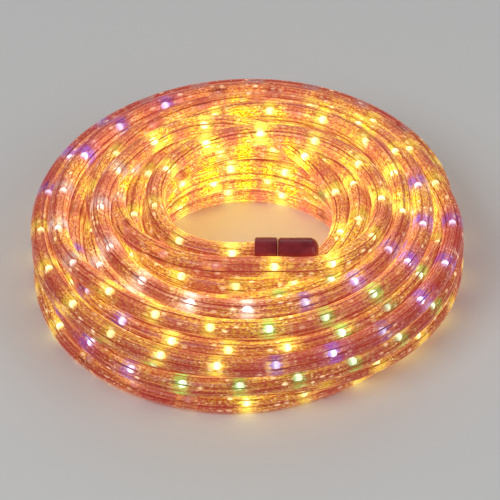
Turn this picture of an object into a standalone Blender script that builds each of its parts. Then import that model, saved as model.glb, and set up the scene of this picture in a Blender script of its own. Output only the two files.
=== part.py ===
"""A lit LED rope light, twelve metres of soft round PVC tube wound into one loose coil.

The coil lies flat on the ground, round the +Z axis, with the origin in the middle of its underside.
Seen from above the rope winds anticlockwise: it starts at its end cap, outside on the left (-X),
and ends in its connector, which lies on the inner rim at the front (-Y). Lengths are in metres.
"""

import math

import bmesh
import bpy
from mathutils import Vector

# The rope, and the gap kept between neighbouring pieces
ROPE_DIAMETER = 0.010
CLEARANCE = 0.0003

# The coil: outside radius, narrowest radius of its bore and how far the bore widens at the floor
OUTER_RADIUS = 0.1055
BORE_RADIUS = 0.0395
BORE_FLARE = 0.009
# Heights of the middle of the rope: at the top of the outer wall, on the shoulder and on the crown
WALL_TOP_HEIGHT = 0.033
SHOULDER_RADIUS = 0.078
SHOULDER_HEIGHT = 0.0455
CROWN_RADIUS = 0.052
CROWN_HEIGHT = 0.051
BORE_TOP_HEIGHT = 0.044
COIL_STEPS = 48

# The ledge that the rope's inner end lies on, cut into the inner rim below the coil's top
LEDGE_DEPTH = 0.0128
LEDGE_START = math.radians(200.0)
LEDGE_END = math.radians(275.0)
LEDGE_SPARE_WIDTH = 0.0017
INNER_END_POINTS = 24

# The connector on the inner end: a collar over the rope, then a closed protective cap
CONNECTOR_X = 0.0033
CONNECTOR_FROM_BORE = 0.001
CONNECTOR_TURN = math.radians(-2.0)
COLLAR_DIAMETER = 0.0142
COLLAR_LENGTH = 0.0108
COLLAR_RIM = 0.0007
CAP_DIAMETER = 0.0138
CAP_LENGTH = 0.0193
CAP_ROUNDING = 0.0045
SOCKET_DEPTH = 0.009

# The end cap on the outer end, and the notch in the coil's foot that it lies in
END_CAP_ANGLE = math.radians(169.0)
END_CAP_STANDS_OUT = 0.0009
END_CAP_DIAMETER = 0.0118
END_CAP_LENGTH = 0.0106
END_CAP_ROUNDING = 0.0035
END_CAP_SOCKET_DEPTH = 0.0085
NOTCH_START = math.radians(161.0)
NOTCH_END = math.radians(206.0)
OUTER_END_POINTS = 16

TURNED_STEPS = 28
CUTTER_STEP = math.radians(7.5)
CUTTER_MARGIN = 0.006

ROPE_RADIUS = ROPE_DIAMETER / 2
COLLAR_RADIUS = COLLAR_DIAMETER / 2
CAP_RADIUS = CAP_DIAMETER / 2
END_CAP_OUTER = END_CAP_DIAMETER / 2
RUN_RADIUS = OUTER_RADIUS - ROPE_RADIUS
END_CAP_RADIUS = OUTER_RADIUS + END_CAP_STANDS_OUT - END_CAP_OUTER
INNER_END_RADIUS = BORE_RADIUS + ROPE_RADIUS + CLEARANCE
LEDGE_RADIUS = INNER_END_RADIUS + ROPE_RADIUS + LEDGE_SPARE_WIDTH
LEDGE_HEIGHT = CROWN_HEIGHT + ROPE_RADIUS - LEDGE_DEPTH
CONNECTOR_Y = -BORE_RADIUS - CONNECTOR_FROM_BORE
CONNECTOR_HEIGHT = LEDGE_HEIGHT + CLEARANCE + max(COLLAR_RADIUS, CAP_RADIUS)


def clear_scene():
    """Remove every object of the open scene."""
    for old in list(bpy.data.objects):
        bpy.data.objects.remove(old, do_unlink=True)


def new_collection(name, hidden=False):
    """A collection linked to the scene, left out of renders when hidden."""
    group = bpy.data.collections.new(name)
    group.hide_render = hidden
    bpy.context.scene.collection.children.link(group)
    return group


def new_material(name, colour, roughness, metallic=0.0):
    """A Principled material of one colour."""
    material = bpy.data.materials.new(name)
    material.use_nodes = True
    shader = material.node_tree.nodes["Principled BSDF"]
    shader.inputs["Base Color"].default_value = (*colour, 1.0)
    shader.inputs["Roughness"].default_value = roughness
    shader.inputs["Metallic"].default_value = metallic
    return material


def turned(name, outline, steps, collection, material):
    """A solid turned round Z from an outline of (radius, height) that runs down its outer side."""
    mesh = bpy.data.meshes.new(name)
    obj = bpy.data.objects.new(name, mesh)
    collection.objects.link(obj)
    shape = bmesh.new()
    corners = [shape.verts.new((radius, 0.0, height)) for radius, height in outline]
    for first, second in zip(corners, corners[1:]):
        shape.edges.new((first, second))
    if outline[0][0] > 0.0:
        shape.edges.new((corners[-1], corners[0]))
    shape.to_mesh(mesh)
    shape.free()
    screw = obj.modifiers.new("turn", "SCREW")
    screw.axis = "Z"
    screw.steps = steps
    screw.render_steps = steps
    screw.use_merge_vertices = True
    screw.merge_threshold = 0.00001
    screw.use_smooth_shade = True
    mesh.materials.append(material)
    return obj


def rounded_run(corner_radius, corner_height, rounding):
    """A quarter round from the flat end, at the axis side, out to the side of a turned piece."""
    count = 5
    points = []
    for step in range(count + 1):
        angle = math.radians(90.0) * step / count
        radius = corner_radius - rounding + rounding * math.sin(angle)
        height = corner_height - rounding + rounding * math.cos(angle)
        points.append((radius, height))
    return points


def evenly_along(stations, spacing):
    """Points one spacing apart or a little more along a run of straight stretches, both ends included."""
    lengths = [(b - a).length for a, b in zip(stations, stations[1:])]
    whole = sum(lengths)
    count = max(2, math.floor(whole / spacing))
    points = []
    for index in range(count + 1):
        left = whole * index / count
        for a, b, length in zip(stations, stations[1:], lengths):
            if left <= length or b is stations[-1]:
                points.append(a.lerp(b, min(1.0, left / length)))
                break
            left -= length
    return points


def section_turns():
    """The turns that show on the coil's section, as (radius, height), clockwise from the outer foot."""
    foot_outer = Vector((RUN_RADIUS, ROPE_RADIUS))
    foot_inner = Vector((BORE_RADIUS + BORE_FLARE + ROPE_RADIUS, ROPE_RADIUS))
    bore_top = Vector((BORE_RADIUS + ROPE_RADIUS, BORE_TOP_HEIGHT))
    crown = Vector((CROWN_RADIUS, CROWN_HEIGHT))
    shoulder = Vector((SHOULDER_RADIUS, SHOULDER_HEIGHT))
    wall_top = Vector((RUN_RADIUS, WALL_TOP_HEIGHT))
    under = evenly_along([foot_outer, foot_inner], ROPE_DIAMETER)
    over = evenly_along([foot_inner, bore_top, crown, shoulder, wall_top, foot_outer], ROPE_DIAMETER)
    return under[:-1] + over[:-1]


def coil_outline():
    """The outline of the wound section: a facet on each turn and a groove between two turns.

    A turn is half of an octagon round the rope, so its facet touches the rope's true outside. Where
    that octagon's corners would stand past the coil's outer wall or the floor, they stay on them.
    """
    turns = section_turns()
    corner = ROPE_RADIUS * math.tan(math.radians(22.5))
    outline = []
    for index, turn in enumerate(turns):
        before = turns[index - 1]
        after = turns[(index + 1) % len(turns)]
        along = (after - before).normalized()
        outward = Vector((-along.y, along.x))
        outline.append(turn + outward * ROPE_RADIUS - along * corner)
        outline.append(turn + outward * ROPE_RADIUS + along * corner)
        across = (after - turn).normalized()
        outline.append((turn + after) / 2 + Vector((-across.y, across.x)) * corner)
    return [(min(point.x, OUTER_RADIUS), max(point.y, 0.0)) for point in reversed(outline)]


def ring_cutter(name, inner, outer, low, high, start, end, collection):
    """A rectangle spun round Z from one angle to another."""
    shape = bmesh.new()
    outline = [(outer, high), (outer, low), (inner, low), (inner, high)]
    corners = [shape.verts.new((radius, 0.0, height)) for radius, height in outline]
    face = shape.faces.new(corners)
    bmesh.ops.spin(
        shape,
        geom=[face, *face.edges, *face.verts],
        cent=(0.0, 0.0, 0.0),
        axis=(0.0, 0.0, 1.0),
        angle=end - start,
        steps=max(2, round((end - start) / CUTTER_STEP)),
    )
    bmesh.ops.recalc_face_normals(shape, faces=shape.faces)
    mesh = bpy.data.meshes.new(name)
    shape.to_mesh(mesh)
    shape.free()
    cutter = bpy.data.objects.new(name, mesh)
    cutter.rotation_euler = (0.0, 0.0, start)
    cutter.display_type = "WIRE"
    cutter.hide_render = True
    collection.objects.link(cutter)
    return cutter


def box_cutter(name, centre, size, turn, collection):
    """A box, given by its middle and sides, turned round Z."""
    mesh = bpy.data.meshes.new(name)
    shape = bmesh.new()
    bmesh.ops.create_cube(shape, size=1.0)
    bmesh.ops.scale(shape, vec=Vector(size), verts=shape.verts)
    shape.to_mesh(mesh)
    shape.free()
    cutter = bpy.data.objects.new(name, mesh)
    cutter.location = centre
    cutter.rotation_euler = (0.0, 0.0, turn)
    cutter.display_type = "WIRE"
    cutter.hide_render = True
    collection.objects.link(cutter)
    return cutter


def cut(obj, cutter):
    """Take one shape away from another."""
    boolean = obj.modifiers.new("cut " + cutter.name, "BOOLEAN")
    boolean.operation = "DIFFERENCE"
    boolean.solver = "EXACT"
    boolean.object = cutter


def rope_tube(name, route, collection, material):
    """A round tube along a route, with flat closed ends."""
    curve = bpy.data.curves.new(name, "CURVE")
    curve.dimensions = "3D"
    curve.bevel_depth = ROPE_RADIUS
    curve.bevel_resolution = 3
    curve.use_fill_caps = True
    spline = curve.splines.new("POLY")
    spline.points.add(len(route) - 1)
    for point, place in zip(spline.points, route):
        point.co = (*place, 1.0)
    spline.use_smooth = True
    curve.materials.append(material)
    obj = bpy.data.objects.new(name, curve)
    collection.objects.link(obj)
    return obj


def eased(share):
    """A share from 0 to 1 that starts and ends level."""
    return share * share * (3.0 - 2.0 * share)


def connector_direction():
    """The way the connector points."""
    return Vector((math.cos(CONNECTOR_TURN), math.sin(CONNECTOR_TURN), 0.0))


def inner_end_route():
    """The last stretch of rope, from the end wall of its ledge round and into the collar."""
    mouth = Vector((CONNECTOR_X, CONNECTOR_Y, CONNECTOR_HEIGHT))
    inside = mouth + connector_direction() * (SOCKET_DEPTH - CLEARANCE)
    mouth_angle = math.atan2(mouth.y, mouth.x) + math.tau
    mouth_radius = math.hypot(mouth.x, mouth.y)
    begin = LEDGE_START + CLEARANCE / INNER_END_RADIUS
    resting_height = LEDGE_HEIGHT + CLEARANCE + ROPE_RADIUS
    points = []
    for step in range(INNER_END_POINTS):
        share = step / (INNER_END_POINTS - 1)
        angle = begin + (mouth_angle - begin) * share
        radius = INNER_END_RADIUS + (mouth_radius - INNER_END_RADIUS) * eased(share)
        height = resting_height + (mouth.z - resting_height) * eased(share)
        points.append(Vector((radius * math.cos(angle), radius * math.sin(angle), height)))
    return points + [inside]


def end_cap_frame():
    """The middle of the end cap's mouth and the way that its closed end points."""
    angle = END_CAP_ANGLE
    outward = Vector((math.cos(angle), math.sin(angle), 0.0))
    place = outward * END_CAP_RADIUS + Vector((0.0, 0.0, END_CAP_OUTER))
    return place, Vector((math.sin(angle), -math.cos(angle), 0.0))


def outer_end_route():
    """The first stretch of rope, from inside its end cap to the end wall of its notch."""
    mouth, pointing = end_cap_frame()
    inside = mouth + pointing * (END_CAP_SOCKET_DEPTH - CLEARANCE)
    finish = NOTCH_END - CLEARANCE / RUN_RADIUS
    points = [inside]
    for step in range(OUTER_END_POINTS):
        share = step / (OUTER_END_POINTS - 1)
        angle = END_CAP_ANGLE + (finish - END_CAP_ANGLE) * share
        radius = END_CAP_RADIUS + (RUN_RADIUS - END_CAP_RADIUS) * eased(share)
        height = END_CAP_OUTER + (ROPE_RADIUS - END_CAP_OUTER) * eased(share)
        points.append(Vector((radius * math.cos(angle), radius * math.sin(angle), height)))
    return points


def pointed(obj, place, direction):
    """Set a piece turned round Z at a place, with its +Z along a direction."""
    obj.location = place
    obj.rotation_mode = "QUATERNION"
    obj.rotation_quaternion = Vector((0.0, 0.0, 1.0)).rotation_difference(direction)


def build_coil(collection, cutters, material):
    """The wound turns as one turned solid with its bore, a ledge and a notch for the two ends."""
    coil = turned("rope_coil", coil_outline(), COIL_STEPS, collection, material)
    top = CROWN_HEIGHT + ROPE_DIAMETER + CUTTER_MARGIN
    ledge = ring_cutter(
        "ledge", BORE_RADIUS - CUTTER_MARGIN, LEDGE_RADIUS, LEDGE_HEIGHT, top, LEDGE_START, LEDGE_END, cutters
    )
    seat_length = COLLAR_LENGTH + CAP_LENGTH + 3 * CLEARANCE
    seat_depth = BORE_RADIUS
    outer_side = max(COLLAR_RADIUS, CAP_RADIUS) + 2 * CLEARANCE
    direction = connector_direction()
    sideways = Vector((-direction.y, direction.x, 0.0))
    middle = (
        Vector((CONNECTOR_X, CONNECTOR_Y, (LEDGE_HEIGHT + top) / 2))
        + direction * (seat_length / 2 - CLEARANCE)
        + sideways * (seat_depth / 2 - outer_side)
    )
    seat = box_cutter(
        "connector_seat", middle, (seat_length, seat_depth, top - LEDGE_HEIGHT), CONNECTOR_TURN, cutters
    )
    notch_top = max(END_CAP_DIAMETER, ROPE_DIAMETER) + CLEARANCE
    notch_side = min(END_CAP_RADIUS - END_CAP_OUTER, RUN_RADIUS - ROPE_RADIUS) - CLEARANCE
    notch = ring_cutter(
        "end_notch",
        notch_side,
        OUTER_RADIUS + END_CAP_STANDS_OUT + CUTTER_MARGIN,
        -CUTTER_MARGIN,
        notch_top,
        NOTCH_START,
        NOTCH_END,
        cutters,
    )
    for cutter in (ledge, seat, notch):
        cut(coil, cutter)
    return coil


def build_collar(collection, material):
    """The sleeve of the connector, with the socket that the rope's end sits in."""
    bore = ROPE_RADIUS + CLEARANCE
    outline = [
        (0.0, COLLAR_LENGTH),
        (COLLAR_RADIUS - COLLAR_RIM, COLLAR_LENGTH),
        (COLLAR_RADIUS, COLLAR_LENGTH - COLLAR_RIM),
        (COLLAR_RADIUS, COLLAR_RIM),
        (COLLAR_RADIUS - COLLAR_RIM, 0.0),
        (bore, 0.0),
        (bore, SOCKET_DEPTH),
        (0.0, SOCKET_DEPTH),
    ]
    collar = turned("connector_collar", outline, TURNED_STEPS, collection, material)
    place = Vector((CONNECTOR_X, CONNECTOR_Y, CONNECTOR_HEIGHT))
    pointed(collar, place, connector_direction())
    return collar


def build_connector_cap(collection, material):
    """The closed protective cap that continues the collar, round at its far end."""
    outline = [(0.0, CAP_LENGTH)]
    outline += rounded_run(CAP_RADIUS, CAP_LENGTH, CAP_ROUNDING)
    outline += [(CAP_RADIUS, COLLAR_RIM), (CAP_RADIUS - COLLAR_RIM, 0.0), (0.0, 0.0)]
    cap = turned("connector_cap", outline, TURNED_STEPS, collection, material)
    place = Vector((CONNECTOR_X, CONNECTOR_Y, CONNECTOR_HEIGHT))
    place += connector_direction() * (COLLAR_LENGTH + CLEARANCE)
    pointed(cap, place, connector_direction())
    return cap


def build_end_cap(collection, material):
    """The cup-shaped cap on the rope's outer end."""
    bore = ROPE_RADIUS + CLEARANCE
    outline = [(0.0, END_CAP_LENGTH)]
    outline += rounded_run(END_CAP_OUTER, END_CAP_LENGTH, END_CAP_ROUNDING)
    outline += [
        (END_CAP_OUTER, 0.0),
        (bore, 0.0),
        (bore, END_CAP_SOCKET_DEPTH),
        (0.0, END_CAP_SOCKET_DEPTH),
    ]
    cap = turned("end_cap", outline, TURNED_STEPS, collection, material)
    place, pointing = end_cap_frame()
    pointed(cap, place, pointing)
    return cap


def main():
    clear_scene()
    parts = new_collection("led_rope_light")
    cutters = new_collection("cutters", hidden=True)
    clear_pvc = new_material("lit clear PVC", (0.85, 0.28, 0.12), 0.18)
    dark_plastic = new_material("dark red plastic", (0.16, 0.012, 0.012), 0.35)
    build_coil(parts, cutters, clear_pvc)
    rope_tube("rope_inner_end", inner_end_route(), parts, clear_pvc)
    rope_tube("rope_outer_end", outer_end_route(), parts, clear_pvc)
    build_collar(parts, dark_plastic)
    build_connector_cap(parts, dark_plastic)
    build_end_cap(parts, dark_plastic)


main()
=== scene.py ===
# %% [markdown]
# # A coiled LED rope light
#
# This lesson dresses a coil of lit rope light. The rope is twelve metres of clear soft PVC, ten
# millimetres thick, with a lamp every 27.8 mm and two copper wires inside. It is wound by hand into
# one loose coil that lies flat. The engineering model gives the coil's outer shape, the two
# short stretches at the rope's ends, a capped connector and an end cap. Everything made here fits on
# them: the real length of rope, wound turn by turn, then its lamps, its wires and its finishes.

# %% Load the engineering model
import math

import bpy
import numpy as np
from mathutils import Matrix, Vector


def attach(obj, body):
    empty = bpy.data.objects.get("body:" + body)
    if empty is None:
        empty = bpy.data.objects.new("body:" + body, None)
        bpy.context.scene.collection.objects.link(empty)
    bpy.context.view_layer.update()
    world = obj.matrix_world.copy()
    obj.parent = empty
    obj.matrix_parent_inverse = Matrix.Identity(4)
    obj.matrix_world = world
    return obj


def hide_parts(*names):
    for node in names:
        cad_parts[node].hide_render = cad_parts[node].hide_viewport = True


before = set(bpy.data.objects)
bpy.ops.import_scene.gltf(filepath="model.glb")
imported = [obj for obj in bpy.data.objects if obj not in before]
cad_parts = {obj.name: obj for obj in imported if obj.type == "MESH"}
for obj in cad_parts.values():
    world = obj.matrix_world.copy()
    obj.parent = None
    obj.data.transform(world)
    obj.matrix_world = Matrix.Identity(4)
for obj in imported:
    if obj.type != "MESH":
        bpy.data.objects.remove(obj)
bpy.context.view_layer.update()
print("engineering model:", sorted(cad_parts))

# %% [markdown]
# ## Sizes
#
# A rope light is known by three numbers: how thick it is, how far apart its lamps are and how long it
# is. The coil is known by its section. If you saw the coil in two, the cut ends of the rope would fill
# a shape with a flat foot, a straight outer wall, a sloping shoulder and a crown beside the bore. The
# corners of that shape are the same ones that the engineering model was drawn from.

# %% Sizes of the rope and of the coil's section
MM = 0.001

ROPE_DIAMETER = 10 * MM
ROPE_RADIUS = ROPE_DIAMETER / 2
LAMP_SPACING = 1.0 / 36

OUTER_RUN = 100.5 * MM
FOOT_INNER = 53.5 * MM
BORE_TOP = (44.5 * MM, 44 * MM)
CROWN = (52 * MM, 51 * MM)
SHOULDER = (78 * MM, 45.5 * MM)
WALL_TOP = (OUTER_RUN, 33 * MM)

# %% [markdown]
# ## The camera
#
# The coil was photographed from above, at about 43 degrees, through a long lens: its near and
# its far side look almost equally big. A camera two metres away with a narrow view does the same.

# %% The camera
CAMERA_ELEVATION = math.radians(42.8)
CAMERA_ROLL = math.radians(1.5)
CAMERA_DISTANCE = 1.96
VIEW_WIDTH = 0.245
SENSOR_WIDTH = 36.0
AIM = Vector((1.0 * MM, 0.0, 14.5 * MM))


def add_camera():
    """A camera that looks along +Y and down at the coil."""
    lens = bpy.data.cameras.new("camera")
    lens.sensor_width = SENSOR_WIDTH
    lens.lens = SENSOR_WIDTH * CAMERA_DISTANCE / VIEW_WIDTH
    lens.clip_end = 50.0
    camera = bpy.data.objects.new("camera", lens)
    away = Vector((0.0, -math.cos(CAMERA_ELEVATION), math.sin(CAMERA_ELEVATION)))
    camera.location = AIM + away * CAMERA_DISTANCE
    tilt = Matrix.Rotation(math.pi / 2 - CAMERA_ELEVATION, 3, "X")
    camera.rotation_euler = (tilt @ Matrix.Rotation(-CAMERA_ROLL, 3, "Z")).to_euler()
    bpy.context.scene.collection.objects.link(camera)
    bpy.context.scene.camera = camera
    return camera


camera = add_camera()
print(f"camera {CAMERA_DISTANCE} m away, lens {camera.data.lens:.0f} mm")

# %% [markdown]
# ## Winding the rope
#
# Nobody draws twelve metres of coiled rope point by point. It is easier to say how it was wound and to
# let the computer settle it. The rope goes round and round; one turn after the other takes its place
# in rows, first across the floor, then back across the row below, and so on up to the crown. That gives
# a rough path in which neighbouring turns still cut through each other.
#
# Settling it is a small simulation, a few cells further on. At each of 96 angles the coil is cut
# through, and any two cuts of the rope that are closer than one diameter are pushed apart. After a few
# hundred rounds the turns lie beside and on each other, and where one changes its row it humps over
# the next.

# %% The rows that the turns are wound in
SAMPLES = 96
STEP = math.tau / SAMPLES

# Each row: inner radius, outer radius, height at its inner and outer end, and turns
ROWS = (
    (53.5 * MM, 100.5 * MM, 5.0 * MM, 5.0 * MM, 5),
    (52.0 * MM, 100.5 * MM, 14.2 * MM, 14.2 * MM, 5),
    (49.5 * MM, 100.5 * MM, 23.5 * MM, 23.5 * MM, 5),
    (47.5 * MM, 100.5 * MM, 32.8 * MM, 32.8 * MM, 5),
    (45.5 * MM, 86.0 * MM, 42.0 * MM, 41.5 * MM, 4),
    (44.8 * MM, 65.0 * MM, 48.5 * MM, 50.5 * MM, 3),
)


def places_in_rows():
    """The place of each turn in the coil's section, in the order of winding."""
    places = []
    for number, (inner, outer, low, high, turns) in enumerate(ROWS):
        share = np.linspace(0.0, 1.0, turns)
        row = np.column_stack([inner + (outer - inner) * share, low + (high - low) * share])
        inwards = number % 2 == 0 or number == len(ROWS) - 1
        places.append(row[::-1] if inwards else row)
    return np.concatenate(places)


print(len(places_in_rows()), "places in", len(ROWS), "rows")

# %% [markdown]
# ## The rope's two ends
#
# Both ends of the rope are fixed by the engineering model: the first stretch comes out of the end cap
# at the coil's foot, and the last one lies on the inner rim and goes into the connector. A long cord
# can't jump from its own route to a fixed one, so the same curves are worked out here again, and the
# first and the last points of the rope are held on them.

# %% The engineering model's routes at the two ends of the rope
END_CAP_ANGLE = math.radians(169.0)
END_CAP_RADIUS = 100.5 * MM
END_CAP_OUTER = 5.9 * MM
NOTCH_END = math.radians(206.0)
LEDGE_START = math.radians(200.0)
INNER_END_RADIUS = 44.8 * MM
INNER_END_HEIGHT = 48.5 * MM
CONNECTOR_MOUTH = Vector((3.3 * MM, -40.5 * MM, 50.6 * MM))
CONNECTOR_TURN = math.radians(-2.0)
CONNECTOR_LENGTH = 30 * MM
CONNECTOR_RADIUS = 7.3 * MM
SOCKET_DEPTH = 8.7 * MM
END_SOCKET_DEPTH = 8.2 * MM


def eased(share):
    """A share from 0 to 1 that starts and ends level."""
    return share * share * (3.0 - 2.0 * share)


def outer_end(angle):
    """Radius and height of the rope's first stretch, from its end cap."""
    share = eased(np.clip((angle - END_CAP_ANGLE) / (NOTCH_END - END_CAP_ANGLE), 0.0, 1.0))
    radius = END_CAP_RADIUS + (OUTER_RUN - END_CAP_RADIUS) * share
    return np.column_stack([radius, END_CAP_OUTER + (ROPE_RADIUS - END_CAP_OUTER) * share])


def inner_end(angle):
    """Radius and height of the rope's last stretch, into its connector."""
    mouth_angle = math.atan2(CONNECTOR_MOUTH.y, CONNECTOR_MOUTH.x) + math.tau
    mouth_radius = math.hypot(CONNECTOR_MOUTH.x, CONNECTOR_MOUTH.y)
    share = eased(np.clip((angle - LEDGE_START) / (mouth_angle - LEDGE_START), 0.0, 1.0))
    radius = INNER_END_RADIUS + (mouth_radius - INNER_END_RADIUS) * share
    return np.column_stack([radius, INNER_END_HEIGHT + (CONNECTOR_MOUTH.z - INNER_END_HEIGHT) * share])


print("the connector's mouth is at", tuple(round(value / MM, 1) for value in CONNECTOR_MOUTH), "mm")

# %% [markdown]
# ## A rough path
#
# A turn keeps its place for a part of its round and then shifts to the next one. Slow waves of
# different lengths are laid over that, because a coil wound by hand is never even. One turn is
# listed: the last but one runs straight beside the connector and then swings wide, which is what
# shows best on the crown.

# %% The turn that swings wide
# The last turn but one: azimuth in degrees, radius and height. It runs beside the connector and
# then swings wide round the right side of the crown
SWING = (
    (225, 56.0, 49.2),
    (240, 54.6, 50.6),
    (255, 52.9, 52.0),
    (270, 52.2, 52.6),
    (283, 53.6, 52.5),
    (295, 57.8, 51.6),
    (310, 64.0, 50.2),
    (328, 67.5, 49.4),
    (346, 67.5, 49.2),
    (364, 64.0, 49.6),
    (384, 58.0, 50.4),
    (404, 52.5, 50.6),
    (424, 48.6, 49.8),
    (444, 46.2, 49.0),
    (464, 45.2, 48.6),
    (500, 44.8, 48.4),
)


def swing(angle, whole):
    """Which points belong to the swing beside the connector, and their radius and height there."""
    azimuth = np.degrees(angle) - 360.0 * (whole - 1)
    degrees, radius, height = np.array(SWING).T
    swinging = (azimuth >= degrees[0]) & (azimuth <= degrees[-1])
    there = [np.interp(azimuth[swinging], degrees, values) * MM for values in (radius, height)]
    return swinging, np.column_stack(there)


print("the swing reaches a radius of", max(radius for _, radius, _ in SWING), "mm")

# %% Places to places, with a hand's waves
FIRST_ANGLE = math.radians(172.5)
LAST_ANGLE = math.radians(273.75)
HELD_ANGLE = LEDGE_START + math.radians(4.0)

# A turn shifts to its next place in the first part of its round, but the last few turns do it late
SHIFT_SHARE = 0.6
LATE_TURNS = 3
LATE_START = 0.42

# The waves: how many a turn, how high they are at which height of the coil, and how fast they drift
WAVES = (0.5, 1, 2)
WAVE_GAIN = 0.7
WAVE_HEIGHTS = (5 * MM, 30 * MM, 50 * MM)
WAVE_SIZES = (2.0 * MM, 3.0 * MM, 4.5 * MM)
WAVE_DRIFT = 0.97
WINDING_SEED = 12


def waves(path, angle, turn, turns):
    """The unevenness of winding by hand, for the radius and half as much for the height."""
    draw = np.random.default_rng(WINDING_SEED)
    loose = np.interp(path[:, 1], WAVE_HEIGHTS, WAVE_SIZES)
    for count in WAVES:
        for axis, gain in ((0, 1.0), (1, 0.5)):
            phase = draw.uniform(0.0, math.tau, turns + 1)
            shift = np.interp(turn, np.arange(turns + 1), np.unwrap(phase))
            wave = np.sin(WAVE_DRIFT * count * angle + shift)
            path[:, axis] += gain * loose * WAVE_GAIN / count**0.5 * wave


def rough_path():
    """The angle of each point along the rope, its radius and height, and which points are held."""
    places = places_in_rows()
    whole = len(places) - 1
    count = round((LAST_ANGLE - FIRST_ANGLE) / STEP) + whole * SAMPLES + 1
    angle = FIRST_ANGLE + STEP * np.arange(count)
    turn = (angle - FIRST_ANGLE) / math.tau
    number = np.floor(turn).astype(int)
    starts = np.where(number >= whole - LATE_TURNS, LATE_START, 0.0)
    lasts = np.where(number >= whole - LATE_TURNS, 1.0 - LATE_START, SHIFT_SHARE)
    share = eased(np.clip((turn - number - starts) / lasts, 0.0, 1.0))[:, None]
    start = places[np.minimum(number, whole)]
    finish = places[np.minimum(number + 1, whole)]
    path = start + (finish - start) * share
    waves(path, angle, turn, whole + 1)
    swinging, target = swing(angle, whole)
    path[swinging] = target
    at_start = angle < NOTCH_END
    at_end = angle > HELD_ANGLE + math.tau * whole
    path[at_start] = outer_end(angle[at_start])
    path[at_end] = inner_end(angle[at_end] - math.tau * whole)
    return angle, path, at_start | at_end


print("the rough path has", len(rough_path()[0]), "points")

# %% [markdown]
# ## Settling the turns
#
# The settling uses three rules, each a few lines of arithmetic on arrays. Points stay inside the coil's
# shape. They stay clear of the connector. And two turns that are closer than one diameter move
# apart, half each. After each round the path is smoothed, as the rope's stiffness would do. A rope of
# soft PVC shouldn't bend tighter than about four diameters, so the smoothing is repeated.

# %% The rules of settling
SPACING = 1.01 * ROPE_DIAMETER
SINKS_BACK = 0.3


def inside_section(path, lift):
    """Bring points back between the bore and the outer wall, above the floor and under the crown."""
    radius, height = path[:, 0], np.maximum(path[:, 1], ROPE_RADIUS)
    bore = np.interp(height, [ROPE_RADIUS, BORE_TOP[1]], [FOOT_INNER, BORE_TOP[0]])
    radius = np.clip(radius, bore, OUTER_RUN)
    corners = [BORE_TOP, CROWN, SHOULDER, WALL_TOP]
    top = np.interp(radius, [c[0] for c in corners], [c[1] for c in corners]) + lift
    height = np.where(height > top, height + (top - height) * SINKS_BACK, height)
    return np.column_stack([radius, height])


def clear_of_connector(path, angle):
    """Move points that are too near the connector away from it."""
    spot = np.column_stack([path[:, 0] * np.cos(angle), path[:, 0] * np.sin(angle), path[:, 1]])
    step = spot - np.array(CONNECTOR_MOUTH)
    ahead = np.array([math.cos(CONNECTOR_TURN), math.sin(CONNECTOR_TURN), 0.0])
    reach = np.clip(step @ ahead, 0.0, CONNECTOR_LENGTH)[:, None]
    away = step - reach * ahead
    distance = np.linalg.norm(away, axis=1)
    push = np.maximum(CONNECTOR_RADIUS + ROPE_RADIUS - distance, 0.0) / (distance + 1e-9)
    outward = away[:, 0] * np.cos(angle) + away[:, 1] * np.sin(angle)
    return path + np.column_stack([outward, away[:, 2]]) * push[:, None]


def pushed_apart(path, turns):
    """Move any two turns that are closer than one diameter apart, at each angle by itself."""
    cuts = path.reshape(turns, SAMPLES, 2)
    between = cuts[None] - cuts[:, None]
    distance = np.sqrt((between**2).sum(-1)) + 1e-9
    close = np.triu(np.ones((turns, turns), bool), 1)[:, :, None] & (distance < SPACING)
    push = np.where(close, (SPACING - distance) / distance, 0.0) * 0.5
    moved = between * push[..., None]
    return (cuts - moved.sum(1) + moved.sum(0)).reshape(-1, 2)


print(f"neighbouring turns settle {SPACING / MM:.1f} mm apart")

# %% The settling itself
SETTLING_ROUNDS = 400
LATE_SHARE = 0.8
SINK = 0.03 * MM
STIFFNESS = np.array([1.0, 4.0, 6.0, 4.0, 1.0]) / 16.0
SMOOTHINGS = 4
SMOOTHED_EARLY = 0.7
SMOOTHED_LATE = 0.5
SWING_PULL = 0.3
SWING_LIFT = 9 * MM

# The last turn may rise onto the inner rim. Its ramp is 1.2 radians long, and starts 2.7 such
# lengths before the ledge
RIM_LIFT = INNER_END_HEIGHT - BORE_TOP[1] + 0.1 * MM
RIM_LIFT_STARTS = 2.7
RIM_LIFT_LENGTH = 1.2


def room_above(angle, turns):
    """How much higher than the coil's section the rope may lie: at its inner end and in the swing."""
    to_end = LEDGE_START + math.tau * (turns - 1) - angle
    lift = RIM_LIFT * eased(np.clip(RIM_LIFT_STARTS - to_end / RIM_LIFT_LENGTH, 0.0, 1.0))
    lift[swing(angle, turns - 1)[0]] = SWING_LIFT
    return lift


def smoothed(rope, strength):
    """The rope after its stiffness has evened it out along its length."""
    for _ in range(SMOOTHINGS):
        ends = np.concatenate([rope[:1], rope[:1], rope, rope[-1:], rope[-1:]])
        smooth = sum(part * ends[i : i + len(rope)] for i, part in enumerate(STIFFNESS))
        rope = rope + (smooth - rope) * strength
    return rope


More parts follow.
